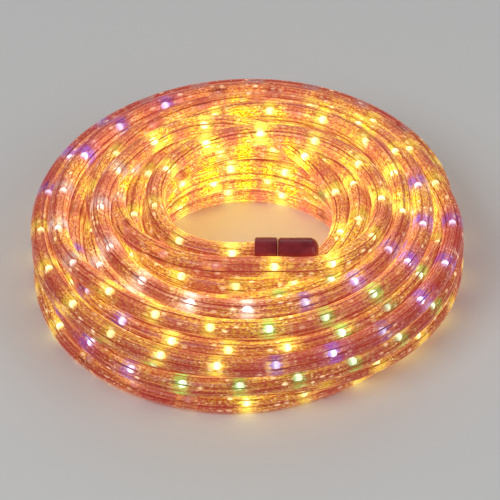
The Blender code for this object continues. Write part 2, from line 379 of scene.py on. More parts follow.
def settled(angle, path, held):
    """The rough path after the settling."""
    count = len(path)
    turns = math.ceil(count / SAMPLES)
    spare = turns * SAMPLES - count
    out_of_reach = np.column_stack([np.linspace(10.0, 20.0, spare), np.zeros(spare)])
    path = np.concatenate([path, out_of_reach])
    fixed = path[:count][held].copy()
    lift = room_above(angle, turns)
    swinging, target = swing(angle, turns - 1)
    for number in range(SETTLING_ROUNDS):
        late = number > LATE_SHARE * SETTLING_ROUNDS
        path[:count, 1] -= 0.0 if late else SINK
        for _ in range(2):
            path = pushed_apart(path, turns)
            path[:count][~held] = clear_of_connector(path[:count], angle)[~held]
            path[:count][held] = fixed
        rope = smoothed(path[:count], SMOOTHED_LATE if late else SMOOTHED_EARLY)
        rope[swinging] += (target - rope[swinging]) * SWING_PULL
        path[:count] = inside_section(rope, lift)
        path[:count][held] = fixed
    return path[:count]


print(f"{SETTLING_ROUNDS} rounds, in each of which the rope sinks {SINK / MM:.2f} mm")

# %% Settle the path and put the ends on
FAR_AWAY = 9.0
TOO_CLOSE = 9 * MM


def tightness(path):
    """The smallest distance between two turns at one angle, and the share of points too close."""
    turns = math.ceil(len(path) / SAMPLES)
    cuts = np.full((turns * SAMPLES, 2), FAR_AWAY)
    cuts[: len(path)] = path
    cuts[len(path) :, 0] += np.arange(len(cuts) - len(path))
    cuts = cuts.reshape(turns, SAMPLES, 2)
    distance = np.linalg.norm(cuts[None] - cuts[:, None], axis=3)
    distance[np.arange(turns), np.arange(turns)] = 1.0
    nearest = distance.min(0).ravel()
    return nearest.min(), (nearest < TOO_CLOSE).mean()


def centreline():
    """The rope's middle from inside the end cap to inside the connector, as points in space."""
    angle, path, held = rough_path()
    path = settled(angle, path, held)
    nearest, share = tightness(path)
    print(f"nearest turns {nearest / MM:.1f} mm apart, {share:.1%} under {TOO_CLOSE / MM:.0f} mm")
    ring = np.column_stack([path[:, 0] * np.cos(angle), path[:, 0] * np.sin(angle), path[:, 1]])
    outward = Vector((math.cos(END_CAP_ANGLE), math.sin(END_CAP_ANGLE), 0.0))
    cap_mouth = outward * END_CAP_RADIUS + Vector((0.0, 0.0, END_CAP_OUTER))
    into_cap = Vector((math.sin(END_CAP_ANGLE), -math.cos(END_CAP_ANGLE), 0.0))
    into_connector = Vector((math.cos(CONNECTOR_TURN), math.sin(CONNECTOR_TURN), 0.0))
    first = [cap_mouth + into_cap * END_SOCKET_DEPTH, cap_mouth]
    last = [CONNECTOR_MOUTH, CONNECTOR_MOUTH + into_connector * SOCKET_DEPTH]
    return np.concatenate([np.array(first), ring, np.array(last)])


route = centreline()
gaps = np.linalg.norm(np.diff(route, axis=0), axis=1)
along = np.concatenate([[0.0], np.cumsum(gaps)])
print(f"the rope is {along[-1]:.3f} m long, in {len(route)} points")

# %% [markdown]
# ## The lamps and their light
#
# Each lamp is a grain of a bulb on the rope's middle line. They are wired in threes, and the three
# lamps of a group have one colour: yellow for the most part, then blue, green, red and near white. No
# two lamps are equally bright, so each draws its own power. The colours of this coil lie in patches,
# so a list of spots says which groups near them take which colour.

# %% Where the lamps are, and their colours
LAMPS_IN_GROUP = 3
GROUP_COLOURS = "YRYYGYRYYY"

# Groups near one of these spots take its colour: azimuth in degrees, radius, height, and reach
COLOUR_SPOTS = (
    ("B", 140, 92, 43, 22),
    ("B", 212, 103, 13, 24),
    ("B", 346, 99, 38, 22),
    ("B", 268, 80, 47, 13),
    ("B", 292, 103, 24, 12),
    ("B", 192, 64, 50, 11),
    ("B", 40, 66, 50, 11),
    ("B", 304, 80, 46, 11),
    ("G", 232, 98, 27, 20),
    ("G", 320, 100, 16, 14),
    ("G", 300, 90, 42, 10),
    ("G", 85, 60, 50, 11),
    ("G", 0, 54, 50, 9),
    ("R", 90, 97, 37, 28),
    ("R", 268, 53, 52, 10),
    ("R", 165, 100, 30, 14),
    ("R", 245, 100, 12, 12),
    ("S", 115, 52, 34, 24),
    ("S", 70, 52, 34, 24),
    ("S", 25, 60, 46, 24),
    ("S", 345, 68, 48, 20),
    ("S", 210, 78, 48, 14),
    ("W", 186, 84, 44, 17),
    ("W", 222, 88, 42, 13),
    ("W", 250, 66, 50, 11),
    ("W", 292, 64, 50, 11),
    ("W", 150, 66, 44, 12),
)

# The kinds of lamp are yellow, a stronger yellow like the sun's, blue, green, red and near white. The
# glow is what a lamp adds to all the turns about it, and the halo what it gives its own stretch of rope
LAMP_GLOW = {
    "Y": (0.54, 0.66, 0.03),
    "S": (0.78, 1.00, 0.03),
    "B": (0.16, 0.07, 0.16),
    "G": (0.42, 0.50, 0.06),
    "R": (0.22, 0.05, 0.02),
    "W": (0.66, 0.52, 0.30),
}
LAMP_HALO = {
    "Y": (1.10, 0.88, 0.08),
    "S": (1.20, 1.06, 0.10),
    "B": (0.16, 0.10, 0.62),
    "G": (0.26, 0.78, 0.12),
    "R": (0.30, 0.05, 0.03),
    "W": (0.90, 0.72, 0.62),
}
print(len(COLOUR_SPOTS), "spots of colour,", len(LAMP_GLOW), "kinds of lamp")

# %% Each group takes its colour
LAMP_SEED = 4
FAINTEST, BRIGHTEST = 0.50, 1.25


def colour_of_group(number, place):
    """The letter of a group's colour: that of the nearest spot within reach, or the next of the row."""
    letter, nearest = GROUP_COLOURS[number % len(GROUP_COLOURS)], 1.0
    for name, azimuth, radius, height, reach in COLOUR_SPOTS:
        turn = math.radians(azimuth)
        spot = np.array([math.cos(turn) * radius, math.sin(turn) * radius, height]) * MM
        share = np.linalg.norm(place - spot) / (reach * MM)
        if share < nearest:
            letter, nearest = name, share
    return letter


lamp_along = np.arange(LAMP_SPACING / 2, along[-1] - END_SOCKET_DEPTH, LAMP_SPACING)
lamp_place = np.column_stack([np.interp(lamp_along, along, route[:, axis]) for axis in range(3)])
lamp_group = np.arange(len(lamp_along)) // LAMPS_IN_GROUP
group_starts = range(0, len(lamp_along), LAMPS_IN_GROUP)
group_middle = [min(start + 1, len(lamp_along) - 1) for start in group_starts]
group_letters = [colour_of_group(g, lamp_place[middle]) for g, middle in enumerate(group_middle)]
lamp_letters = [group_letters[g] for g in lamp_group]
lamp_power = np.random.default_rng(LAMP_SEED).uniform(FAINTEST, BRIGHTEST, len(lamp_along))
lamp_glow = np.array([LAMP_GLOW[letter] for letter in lamp_letters]) * lamp_power[:, None]
lamp_halo = np.array([LAMP_HALO[letter] for letter in lamp_letters]) * lamp_power[:, None]
print(len(lamp_along), "lamps:", {letter: lamp_letters.count(letter) for letter in LAMP_GLOW})

# %% [markdown]
# ## The lamps' light
#
# Clear PVC carries light sideways, so a lamp doesn't only light its own stretch of rope: turns beside
# and under it glow too. Real light transport through so much clear plastic would be slow and grainy.
# Here the light of all the lamps is summed once, in numbers, at each point of the rope, and kept on
# the mesh as a colour. A render then needs no extra time for it.
#
# On the far inner slope the lamps of neighbouring turns happen to line up. Their light adds up to
# broad bright bands across the turns, with pink ones between, so the light there gets a slow wave.

# %% The light of all lamps at any point
REACH = 10.5 * MM
POINTS_AT_ONCE = 4000
LOST_LIGHT = 0.40
EXPOSURE = 0.68

OPEN_RADII = (50 * MM, 88 * MM, 104 * MM)
OPEN_SHARES = (1.05, 1.05, 0.60)
FAR_RIM = (84 * MM, 98 * MM)
SIDE_SHARE = 0.66
INWARD_GAIN = 0.4
LEAST_SHARE = 0.3
FAR_RIM_DIMMED = 0.38

# The bands: how many go round, how unevenly they are spaced, how deep and how sharp they are, how
# soon they set in towards the far side, and between which radii they fade out
BANDS_ROUND = 20.0
BAND_SWAY = 1.5
SWAYS_ROUND = 5.0
BAND_DEPTH = 0.5
BAND_EDGE = 1.6
BAND_ONSET = 1.4
BANDS_FADE = (78 * MM, 90 * MM)


def light_at(points):
    """The summed light of the lamps at some points, as linear colours from 0 to 1."""
    total = np.zeros_like(points)
    for start in range(0, len(points), POINTS_AT_ONCE):
        part = slice(start, start + POINTS_AT_ONCE)
        apart = np.linalg.norm(points[part, None] - lamp_place[None], axis=2)
        total[part] = (1.0 / (1.0 + (apart / REACH) ** 3)) @ lamp_glow
    return 1.0 - np.exp(-np.maximum(total - LOST_LIGHT, 0.0) * EXPOSURE)


def share_of_light(points, inward):
    """More light gathers on the slopes of the bore than on the outer wall, least at the far rim."""
    radius = np.hypot(points[:, 0], points[:, 1])
    open_air = np.interp(radius, OPEN_RADII, OPEN_SHARES)
    far_rim = np.clip(points[:, 1] / radius, 0.0, 1.0) * np.interp(radius, FAR_RIM, [0.0, 1.0])
    facing = np.clip(SIDE_SHARE + INWARD_GAIN * inward, LEAST_SHARE, 1.0)
    return facing * open_air * (1.0 - FAR_RIM_DIMMED * far_rim)


def bands_of_light(points):
    """A factor for the light: brighter and dimmer bands that run down the far side's inner slope."""
    radius = np.hypot(points[:, 0], points[:, 1])
    azimuth = np.arctan2(points[:, 1], points[:, 0])
    slope = np.clip(points[:, 1] / radius * BAND_ONSET, 0.0, 1.0) * np.interp(radius, BANDS_FADE, [1.0, 0.0])
    wave = np.sin(BANDS_ROUND * azimuth + BAND_SWAY * np.sin(SWAYS_ROUND * azimuth))
    wave = np.clip(BAND_EDGE * wave, -1.0, 1.0)
    return 1.0 + BAND_DEPTH * wave * slope


print(f"a lamp lights what is within about {REACH / MM:.0f} mm")

# %% [markdown]
# ## Painted shade in the grooves
#
# Where two turns touch, the groove between them gets a painted shade, with a thin painted highlight on
# its lip. The finish can't see the neighbouring turns, so it is told: each point of the jacket keeps how
# close it comes to another turn, as a mask. Turns run side by side, so it is enough to look at the turns
# at the same angle.

# %% How deep in a groove a point lies
# How far the painted groove shade reaches from where two turns touch
GROOVE_SHADE_WIDTH = 1.3 * MM

# The first two points of the route and the last two are at the fittings; the rest are wound
END_POINTS = 2
wound = route[END_POINTS:-END_POINTS]
WHOLE_TURNS = math.ceil(len(wound) / SAMPLES)


def groove_shade_mask_at(points):
    """For each ring of points, how close they come to another turn of the rope, the mask of the painted
    groove shade: 1 where they touch.
    """
    radius = np.hypot(points[..., 0], points[..., 1])
    height = points[..., 2]
    middle = np.full((WHOLE_TURNS * SAMPLES, 2), FAR_AWAY)
    middle[: len(wound)] = np.column_stack([np.hypot(wound[:, 0], wound[:, 1]), wound[:, 2]])
    middle = middle.reshape(WHOLE_TURNS, SAMPLES, 2)
    deep = np.zeros(points.shape[:2])
    for ring in range(len(points)):
        spot = min(max(ring - END_POINTS, 0), len(wound) - 1)
        turn, sample = divmod(spot, SAMPLES)
        others = np.delete(middle[:, sample], turn, axis=0)
        across = radius[ring][:, None] - others[:, 0]
        up = height[ring][:, None] - others[:, 1]
        gap = np.hypot(across, up).min(1) - ROPE_RADIUS
        deep[ring] = np.exp(-np.maximum(gap, 0.0) / GROOVE_SHADE_WIDTH)
    return deep


print("grooves are looked for in", WHOLE_TURNS, "turns")

# %% [markdown]
# ## From a line to a tube
#
# A tube is a ring of points carried along the line. Each ring stands square to the rope, and starts on
# the side that faces away from the coil's middle, so that the tube doesn't twist by accident. The
# tube keeps, for each of its points, how far along the rope it is and where on the ring: the finishes
# read that, and so the lamps' glow follows the rope wherever it goes.

# %% Carrying a ring along the rope
def ring_axes(points):
    """For each point of a path, the two directions that its ring lies in."""
    ahead = np.gradient(points, axis=0)
    ahead /= np.linalg.norm(ahead, axis=1)[:, None]
    outward = points * (1.0, 1.0, 0.0)
    outward -= ahead * (outward * ahead).sum(1)[:, None]
    outward /= np.linalg.norm(outward, axis=1)[:, None]
    return outward, np.cross(ahead, outward)


print("the first ring faces", [round(float(value), 2) for value in ring_axes(route)[0][0]])

# %% [markdown]
# ## A flat map of the tube
#
# When the part is exported, its finish is painted onto a picture, and a flat map says where each face
# goes on it. Twelve metres of rope would make one very long strip. Each turn of the coil becomes a
# strip of its own instead, one above the other, so that the picture is used evenly.

# %% Unroll the tube, turn by turn
STRIP_MARGIN = 0.02
END_SIZE = 0.3


def unrolled(mesh, count, sides):
    """A flat map for baking: each turn of the coil is a strip of its own, one above the other."""
    ring, side = np.meshgrid(np.arange(count - 1), np.arange(sides), indexing="ij")
    strips = math.ceil(count / SAMPLES)
    left, low = ring % SAMPLES / SAMPLES, side / sides
    right, high = left + 1.0 / SAMPLES, low + 1.0 / sides
    across = np.stack([left, left, right, right], axis=-1)
    height = np.stack([low, high, high, low], axis=-1)
    up = (ring // SAMPLES)[..., None] + STRIP_MARGIN + (1.0 - 2 * STRIP_MARGIN) * height
    walls = np.stack([across, up / strips], axis=-1).reshape(-1, 2)
    turn = math.tau * np.arange(sides) / sides
    circle = END_SIZE / strips * np.column_stack([np.cos(turn), np.sin(turn)])
    ends = [circle + ((strips - 0.5) / strips,) * 2, circle + (1.0 - 2.0 / strips, (strips - 0.5) / strips)]
    baking = mesh.uv_layers.new(name="OFBake")
    baking.data.foreach_set("uv", np.concatenate([walls, *ends]).astype(np.float32).ravel())


print("the jacket's flat map has", math.ceil(len(route) / SAMPLES), "strips")

# %% A closed tube along a path
def rings_along(points, radius, sides):
    """Rings of points that stand square to a path."""
    outward, upward = ring_axes(points)
    around = math.tau * np.arange(sides) / sides
    cos, sin = np.cos(around)[None, :, None], np.sin(around)[None, :, None]
    return points[:, None] + radius * (cos * outward[:, None] + sin * upward[:, None])


def keep(mesh, name, kind, field, values):
    """Keep one value for each point of a mesh, as an attribute that a finish can read."""
    attribute = mesh.attributes.new(name, kind, "POINT")
    attribute.data.foreach_set(field, np.asarray(values, np.float32).ravel())


def add_tube(name, rings, distance):
    """A closed tube of rings, which keeps for each point how far along the rope it is and which way round."""
    count, sides = rings.shape[:2]
    index = np.arange(count * sides).reshape(count, sides)
    after = np.roll(index, -1, axis=1)
    walls = np.stack([index[:-1], after[:-1], after[1:], index[1:]], axis=-1).reshape(-1, 4)
    mesh = bpy.data.meshes.new(name)
    faces = walls.tolist() + [index[0, ::-1].tolist(), index[-1].tolist()]
    mesh.from_pydata(rings.reshape(-1, 3).tolist(), [], faces)
    around = np.broadcast_to(math.tau * np.arange(sides) / sides, (count, sides))
    where = [np.broadcast_to(distance[:, None], (count, sides)), np.cos(around), np.sin(around)]
    keep(mesh, "rope_place", "FLOAT_VECTOR", "vector", np.stack(where, -1))
    unrolled(mesh, count, sides)
    mesh.shade_smooth()
    tube = bpy.data.objects.new(name, mesh)
    bpy.context.scene.collection.objects.link(tube)
    return tube


JACKET_SIDES = 20
jacket_rings = rings_along(route, ROPE_RADIUS, JACKET_SIDES)
jacket = add_tube("rope_jacket", jacket_rings, along)
print("jacket:", len(jacket.data.polygons), "faces")

# %% The jacket keeps its light and its groove shade mask
HALO_SHADED = 0.35


def keep_light(mesh, rings, distance):
    """The light of all lamps and the colour of the nearest one, at each point of the jacket."""
    sides = rings.shape[1]
    vertices = rings.reshape(-1, 3)
    inward = -np.cos(math.tau * np.arange(sides) / sides)
    side = share_of_light(vertices, np.tile(inward, len(rings)))[:, None]
    bright = light_at(vertices) * side * bands_of_light(vertices)[:, None]
    keep(mesh, "lamp_light", "FLOAT_COLOR", "color", np.concatenate([bright, np.ones_like(side)], axis=1))
    nearest = np.abs(distance[:, None] - lamp_along[None]).argmin(1)
    halo = np.repeat(lamp_halo[nearest], sides, axis=0) * (HALO_SHADED + (1.0 - HALO_SHADED) * side)
    keep(mesh, "own_lamp", "FLOAT_COLOR", "color", np.concatenate([halo, side], axis=1))
    return bright


bright = keep_light(jacket.data, jacket_rings, along)
# The mask of the painted shade in the grooves and of the painted highlight beside them
keep(jacket.data, "groove_shade_mask", "FLOAT", "value", groove_shade_mask_at(jacket_rings))
print("mean light on the jacket:", [round(float(value), 2) for value in bright.mean(0)])

# %% [markdown]
# ## The wires
#
# Two copper wires feed the lamps. They run through the whole rope beside the lamps and wind slowly
# round them, because the rope is twisted as it is made. They are thin tubes on an offset of the same
# line, closed at both ends.

# %% The two wires beside the lamps
WIRE_RADIUS = 0.4 * MM
WIRE_OFFSET = 2.7 * MM
WIRE_TWIST = 11.0
WIRE_SIDES = 5


def add_wire(name, start):
    """A thin wire that winds slowly round the lamps, inside the jacket."""
    points, distance = route[1:-1], along[1:-1]
    outward, upward = ring_axes(points)
    turn = (distance * WIRE_TWIST + start)[:, None]
    path = points + WIRE_OFFSET * (np.cos(turn) * outward + np.sin(turn) * upward)
    return add_tube(name, rings_along(path, WIRE_RADIUS, WIRE_SIDES), distance)


wires = [add_wire("wire_one", 0.0), add_wire("wire_two", math.pi)]
print("two wires of", len(wires[0].data.polygons), "faces each")

# %% [markdown]
# ## The lamps
#
# A lamp of a rope light is a glass grain about as long as a grain of rice, with a lead at each end. It
# starts as a ball. In edit mode it is stretched, and its two ends are drawn out into the leads. The one
# bulb is then copied to every place along the rope, and the copies are joined into one mesh. Each copy
# keeps its colour in an attribute: white where the glass is brightest, tinted towards its ends.

# %% The bulb's colours at its ends and in its middle
BULB_EDGE = {
    "Y": (1.6, 1.15, 0.08),
    "S": (1.6, 1.25, 0.10),
    "B": (0.16, 0.10, 0.90),
    "G": (0.05, 0.55, 0.22),
    "R": (0.40, 0.03, 0.02),
    "W": (1.20, 0.95, 0.90),
}
BULB_MIDDLE = {
    "Y": (3.4, 3.1, 1.5),
    "S": (3.8, 3.6, 1.8),
    "B": (2.2, 2.2, 2.8),
    "G": (2.2, 2.8, 2.0),
    "R": (0.45, 0.09, 0.06),
    "W": (3.0, 2.9, 2.6),
}
print("the brightest bulb glows at", max(max(light) for light in BULB_MIDDLE.values()))

# %% One bulb, modelled
BULB_HALF_LENGTH = 3.0 * MM
BULB_RADIUS = 1.9 * MM
BULB_SIDES = 6
BULB_RINGS = 6
LEAD_LENGTH = 0.9 * MM
LEAD_SHARE = 0.25
CAP_STARTS = 0.85


def drawn_out(bulb, end):
    """Draw the cap of faces at one end of the bulb, +1 or -1, out into a thin lead."""
    bpy.ops.object.mode_set(mode="EDIT")
    bpy.ops.mesh.select_mode(type="FACE")
    bpy.ops.mesh.select_all(action="DESELECT")
    bpy.ops.object.mode_set(mode="OBJECT")
    for face in bulb.data.polygons:
        face.select = face.center.z * end > BULB_HALF_LENGTH * CAP_STARTS
    bpy.ops.object.mode_set(mode="EDIT")
    tip = (0.0, 0.0, end * BULB_HALF_LENGTH)
    bpy.ops.transform.resize(value=(LEAD_SHARE, LEAD_SHARE, 1.0), center_override=tip)
    bpy.ops.mesh.extrude_region_move(TRANSFORM_OT_translate={"value": (0.0, 0.0, end * LEAD_LENGTH)})
    bpy.ops.object.mode_set(mode="OBJECT")


def model_bulb():
    """A glass grain with a lead at each end, along Z."""
    bpy.ops.object.select_all(action="DESELECT")
    bpy.ops.mesh.primitive_uv_sphere_add(segments=BULB_SIDES, ring_count=BULB_RINGS, radius=BULB_RADIUS)
    bulb = bpy.context.object
    bpy.ops.object.mode_set(mode="EDIT")
    bpy.ops.mesh.select_all(action="SELECT")
    bpy.ops.transform.resize(value=(1.0, 1.0, BULB_HALF_LENGTH / BULB_RADIUS))
    bpy.ops.object.mode_set(mode="OBJECT")
    for end in (1, -1):
        drawn_out(bulb, end)
    bpy.ops.object.shade_smooth()
    return bulb


first_bulb = model_bulb()
print("one bulb has", len(first_bulb.data.polygons), "faces")

# %% [markdown]
# ## Placing the bulbs
#
# The bulb stands on its end, along Z. A copy of it goes to each lamp's place and is turned until its Z
# points along the rope. Joining the copies keeps the scene simple: one piece, one finish.

# %% A bulb at every place along the rope
GLOW_PEAK = 1.25
GLOW_FADE = 1.3
GLOW_OFF_CENTRE = 0.12


def tinted(mesh, letter, power):
    """Keep a bulb's light on its points: white in the middle, its own colour towards the ends."""
    height = np.empty(len(mesh.vertices) * 3)
    mesh.vertices.foreach_get("co", height)
    share = height[2::3, None] / BULB_HALF_LENGTH
    middle = np.clip(GLOW_PEAK - GLOW_FADE * np.abs(share - GLOW_OFF_CENTRE), 0.0, 1.0) ** 2
    edge = np.array(BULB_EDGE[letter])
    light = (edge + (BULB_MIDDLE[letter] - edge) * middle) * power
    keep(mesh, "bulb", "FLOAT_COLOR", "color", np.column_stack([light, np.ones(len(light))]))


def add_lamps(first):
    """Copies of the one bulb, each turned along the rope, joined into one piece."""
    step_on = np.column_stack([np.interp(lamp_along + MM, along, route[:, axis]) for axis in range(3)])
    ahead = step_on - lamp_place
    copies = []
    for number, place in enumerate(lamp_place):
        copy = first.copy()
        copy.data = first.data.copy()
        tinted(copy.data, lamp_letters[number], lamp_power[number])
        turn = Vector(ahead[number]).to_track_quat("Z", "Y").to_matrix().to_4x4()
        copy.matrix_world = Matrix.Translation(place) @ turn
        bpy.context.scene.collection.objects.link(copy)
        copies.append(copy)
    bpy.data.objects.remove(first)
    bpy.ops.object.select_all(action="DESELECT")
    for copy in copies:
        copy.select_set(True)
    bpy.context.view_layer.objects.active = copies[0]
    bpy.ops.object.join()
    bpy.ops.object.transform_apply(location=True, rotation=True, scale=True)
    lamps = bpy.context.object
    lamps.name = "lamps"
    return lamps


lamps = add_lamps(first_bulb)
print(len(lamp_place), "bulbs,", len(lamps.data.polygons), "faces")

# %% [markdown]
# ## Shader maths
#
# The jacket's finish is a long sum: light, flecks, lines and sparks. Wiring that by hand in the shader
# editor takes dozens of Math nodes. Here a small class wraps the output of a node, and the signs +, -, *
# and / on it add the Math node they stand for. A second class holds the material and has one way to
# add any other node. Colours go through Mix and Vector Math nodes, because a Math node would turn
# them grey.

# %% Sums on sockets
class Socket:
    """A node's output that does sums: every operator adds one Math node."""

    def __init__(self, finish, output):
        self.finish = finish
        self.output = output

    def maths(self, operation, *others):
        """The Math node for an operation on this socket and others."""
        inputs = dict(enumerate((self, *others)))
        return self.finish.node("ShaderNodeMath", {"operation": operation}, inputs)

    def __add__(self, other):
        return self.maths("ADD", other)

    def __sub__(self, other):
        return self.maths("SUBTRACT", other)

    def __rsub__(self, other):
        return self.maths("MULTIPLY_ADD", -1.0, other)

    def __mul__(self, other):
        return self.maths("MULTIPLY", other)

    def __truediv__(self, other):
        return self.maths("DIVIDE", other)

    __radd__ = __add__
    __rmul__ = __mul__

    def larger(self, other):
        """The larger of the two at each point."""
        return self.maths("MAXIMUM", other)

    def bounded(self, low, high):
        """0 below low, 1 above high, and a soft step between."""
        settings = {"interpolation_type": "SMOOTHSTEP"}
        return self.finish.node("ShaderNodeMapRange", settings, {0: self, 1: low, 2: high})


sums = [name.strip("_") for name, it in vars(Socket).items() if callable(it) and name != "__init__"]
print("a socket can:", ", ".join(sums))

# %% A material in the making
COLOUR, VECTOR, NUMBER, ALPHA = range(4)


def colour(red, green, blue):
    """A linear colour as a socket wants it."""
    return (red, green, blue, 1.0)


class Finish:
    """A material in the making, with one way to add any node."""

    def __init__(self, name):
        self.material = bpy.data.materials.new(name)
        self.material.use_nodes = True
        self.tree = self.material.node_tree
        self.shader = self.tree.nodes["Principled BSDF"]

    def node(self, kind, settings=None, inputs=None, output=0):
        """Any node: its type, its settings, what goes into its sockets, and which output is wanted."""
        made = self.tree.nodes.new(kind)
        for name, value in (settings or {}).items():
            setattr(made, name, value)
        self.fill(made, inputs or {})
        return Socket(self, made.outputs[output])

    def fill(self, made, inputs):
        """Link or set each of a node's sockets."""
        for name, value in inputs.items():
            if isinstance(value, Socket):
                self.tree.links.new(value.output, made.inputs[name])
            elif made.inputs[name].type == "VECTOR":
                made.inputs[name].default_value = value[:3]
            else:
                made.inputs[name].default_value = value

    def mix(self, factor, first, second, blend="MIX"):
        """Two colours blended by a factor."""
        settings = {"data_type": "RGBA", "blend_type": blend}
        return self.node("ShaderNodeMix", settings, {0: factor, 6: first, 7: second}, output=2)

    def scaled(self, tint, strength):
        """A colour made brighter or darker."""
        return self.node("ShaderNodeVectorMath", {"operation": "SCALE"}, {0: tint, 3: strength})

    def added(self, first, second):
        """The light of two colours together."""
        return self.mix(1.0, first, second, "ADD")

    def attribute(self, name, output):
        """What each point of the mesh keeps under a name."""
        return self.node("ShaderNodeAttribute", {"attribute_name": name}, output=output)

    def noise(self, scale, detail):
        """Noise in the object's own coordinates, in metres."""
        where = self.node("ShaderNodeTexCoord", output=3)
        return self.node("ShaderNodeTexNoise", {}, {"Vector": where, "Scale": scale, "Detail": detail})

    def relief(self, height, strength, depth):
        """A bump: raised where height is 1, and depth is how deep it would be, in metres."""
        return self.node("ShaderNodeBump", {}, {"Height": height, "Strength": strength, "Distance": depth})

    def surface(self, **inputs):
        """Set or link the shader's own sockets: the material is finished."""
        self.fill(self.shader, {name.replace("_", " "): value for name, value in inputs.items()})
        print(self.material.name, "has", len(self.tree.nodes), "nodes")
        return self.material


# %% [markdown]
# ## Patterns that follow the rope
#
# A pattern in plain object coordinates would cut straight through the coil. These patterns are drawn
# in the rope's own coordinates, the attribute that every ring of the tube keeps: how far along the rope,
# and which way round it. Flecks are a noise stretched along the rope. Sparks are the middles of Voronoi
# cells, of which only a few light up. Lines are the crests of a cosine that runs round the tube.

# %% Flecks, sparks, lines and the distance from a lamp
LINE_TWIST = 7.0

# A spark's width as a share of its length, how soft its edge is, and how softly rare ones set in
SPARK_WIDTH = 0.6
SPARK_EDGE = (0.15, 0.45)
SPARK_ONSET = 0.3


def stretched(finish, length, width, seed):
    """The rope's own coordinates, scaled so that one unit is this length along it and width round it."""
    around = ROPE_RADIUS / width
    place = finish.attribute("rope_place", VECTOR)
    scale = {0: place, 1: (1.0 / length, around, around)}
    grown = finish.node("ShaderNodeVectorMath", {"operation": "MULTIPLY"}, scale)
    return finish.node("ShaderNodeVectorMath", {"operation": "ADD"}, {0: grown, 1: (seed, seed, 0.0)})


def flecks(finish, length, width, seed):
    """A noise whose flecks have this length along the rope and this width round it."""
    inputs = {"Vector": stretched(finish, length, width, seed), "Scale": 1.0, "Detail": 2.0, "Roughness": 0.6}
    return finish.node("ShaderNodeTexNoise", {}, inputs)


def sparks(finish, size, seed, rare):
    """Dots of light scattered over the rope; the higher rare is, the fewer light up."""
    where = stretched(finish, size / SPARK_WIDTH, size, seed)
    cells = {"Vector": where, "Scale": 1.0, "Randomness": 1.0}
    distance = finish.node("ShaderNodeTexVoronoi", {}, cells, output=0)
    tint = finish.node("ShaderNodeTexVoronoi", {}, cells, output=1)
    chance = finish.node("ShaderNodeSeparateColor", {}, {0: tint})
    return (1.0 - distance.bounded(*SPARK_EDGE)) * chance.bounded(rare, rare + SPARK_ONSET)


def lines_round(finish, count, start):
    """The crests of this many lines along the rope, evenly spaced and winding slowly round it."""
    place = finish.attribute("rope_place", VECTOR)
    parts, across, up = (finish.node("ShaderNodeSeparateXYZ", {}, {0: place}, output=i) for i in range(3))
    turn = up.maths("ARCTAN2", across) * count + parts * LINE_TWIST + start
    return turn.maths("COSINE")


def from_lamp(finish):
    """How far a point is from the nearest lamp along the rope, in metres."""
    parts = finish.node("ShaderNodeSeparateXYZ", {}, {0: finish.attribute("rope_place", VECTOR)})
    share = (parts / LAMP_SPACING).maths("FRACT")
    return (share - 0.5).maths("ABSOLUTE") * LAMP_SPACING


print("the patterns follow", f"{along[-1]:.1f}", "m of rope")

# %% [markdown]
# ## The lit jacket
#
# The jacket is clear soft PVC. Lit from inside it is no one colour: deep red where little light
# reaches it, coral where it scatters, and gold where the lamps are near. What a camera sees is mostly
# light that comes out of the plastic, so this finish is mostly emission, added up in layers:
#
# 1. the plastic itself, from deep red to coral, streaked along the rope;
# 2. the light of all lamps nearby, in flecks and patches, from the attribute that was summed above;
# 3. the glow of the rope's own lamp, in a band across the tube;
# 4. sparks, where the moulded inside of the tube catches a lamp;
# 5. thin dark lines, as wires look through the plastic, and a painted shade in the grooves, with painted
#    highlights beside them.
#
# Over each lamp the jacket is half see-through, so that the bulb shows. PVC is glossy, but it comes out
# of its die with faint ribs along it and is handled since: the same streaks raise it a little, and
# they and the patches make it rougher in places.

# %% The plastic itself
PLASTIC_DEEP = colour(0.44, 0.012, 0.020)
PLASTIC_CORAL = colour(0.78, 0.165, 0.140)
GOLDEN = colour(1.0, 1.0, 0.2)


def plastic(finish, streaks, grain, light, patch):
    """The plastic's colour, darker where less of the lamps' light gathers, as where the coil lies open, and
    golden in the lamps' light.
    """
    side = finish.attribute("own_lamp", ALPHA)
    deep = finish.mix(streaks * 0.45 + grain * 0.15 + side * 0.45, PLASTIC_DEEP, PLASTIC_CORAL)
    gold = finish.node("ShaderNodeSeparateColor", {}, {0: light}, output=1) * (patch * 0.6 + 0.4)
    return finish.mix(gold, finish.scaled(deep, side * 0.75 + 0.42), GOLDEN, "MULTIPLY")


print("plastic from", PLASTIC_DEEP[:3], "to", PLASTIC_CORAL[:3])

# %% The lines
# Red of the dark lines: wires and hairs seen through the plastic, and the painted shade in the grooves
LINE_AND_GROOVE_SHADE_RED = colour(0.27, 0.008, 0.012)
# Colour of the painted highlights beside the grooves and along the glint lines
RIM_LIGHT = colour(0.70, 0.42, 0.10)
WIRES_SEEN = 4
HAIRS_SEEN = 9


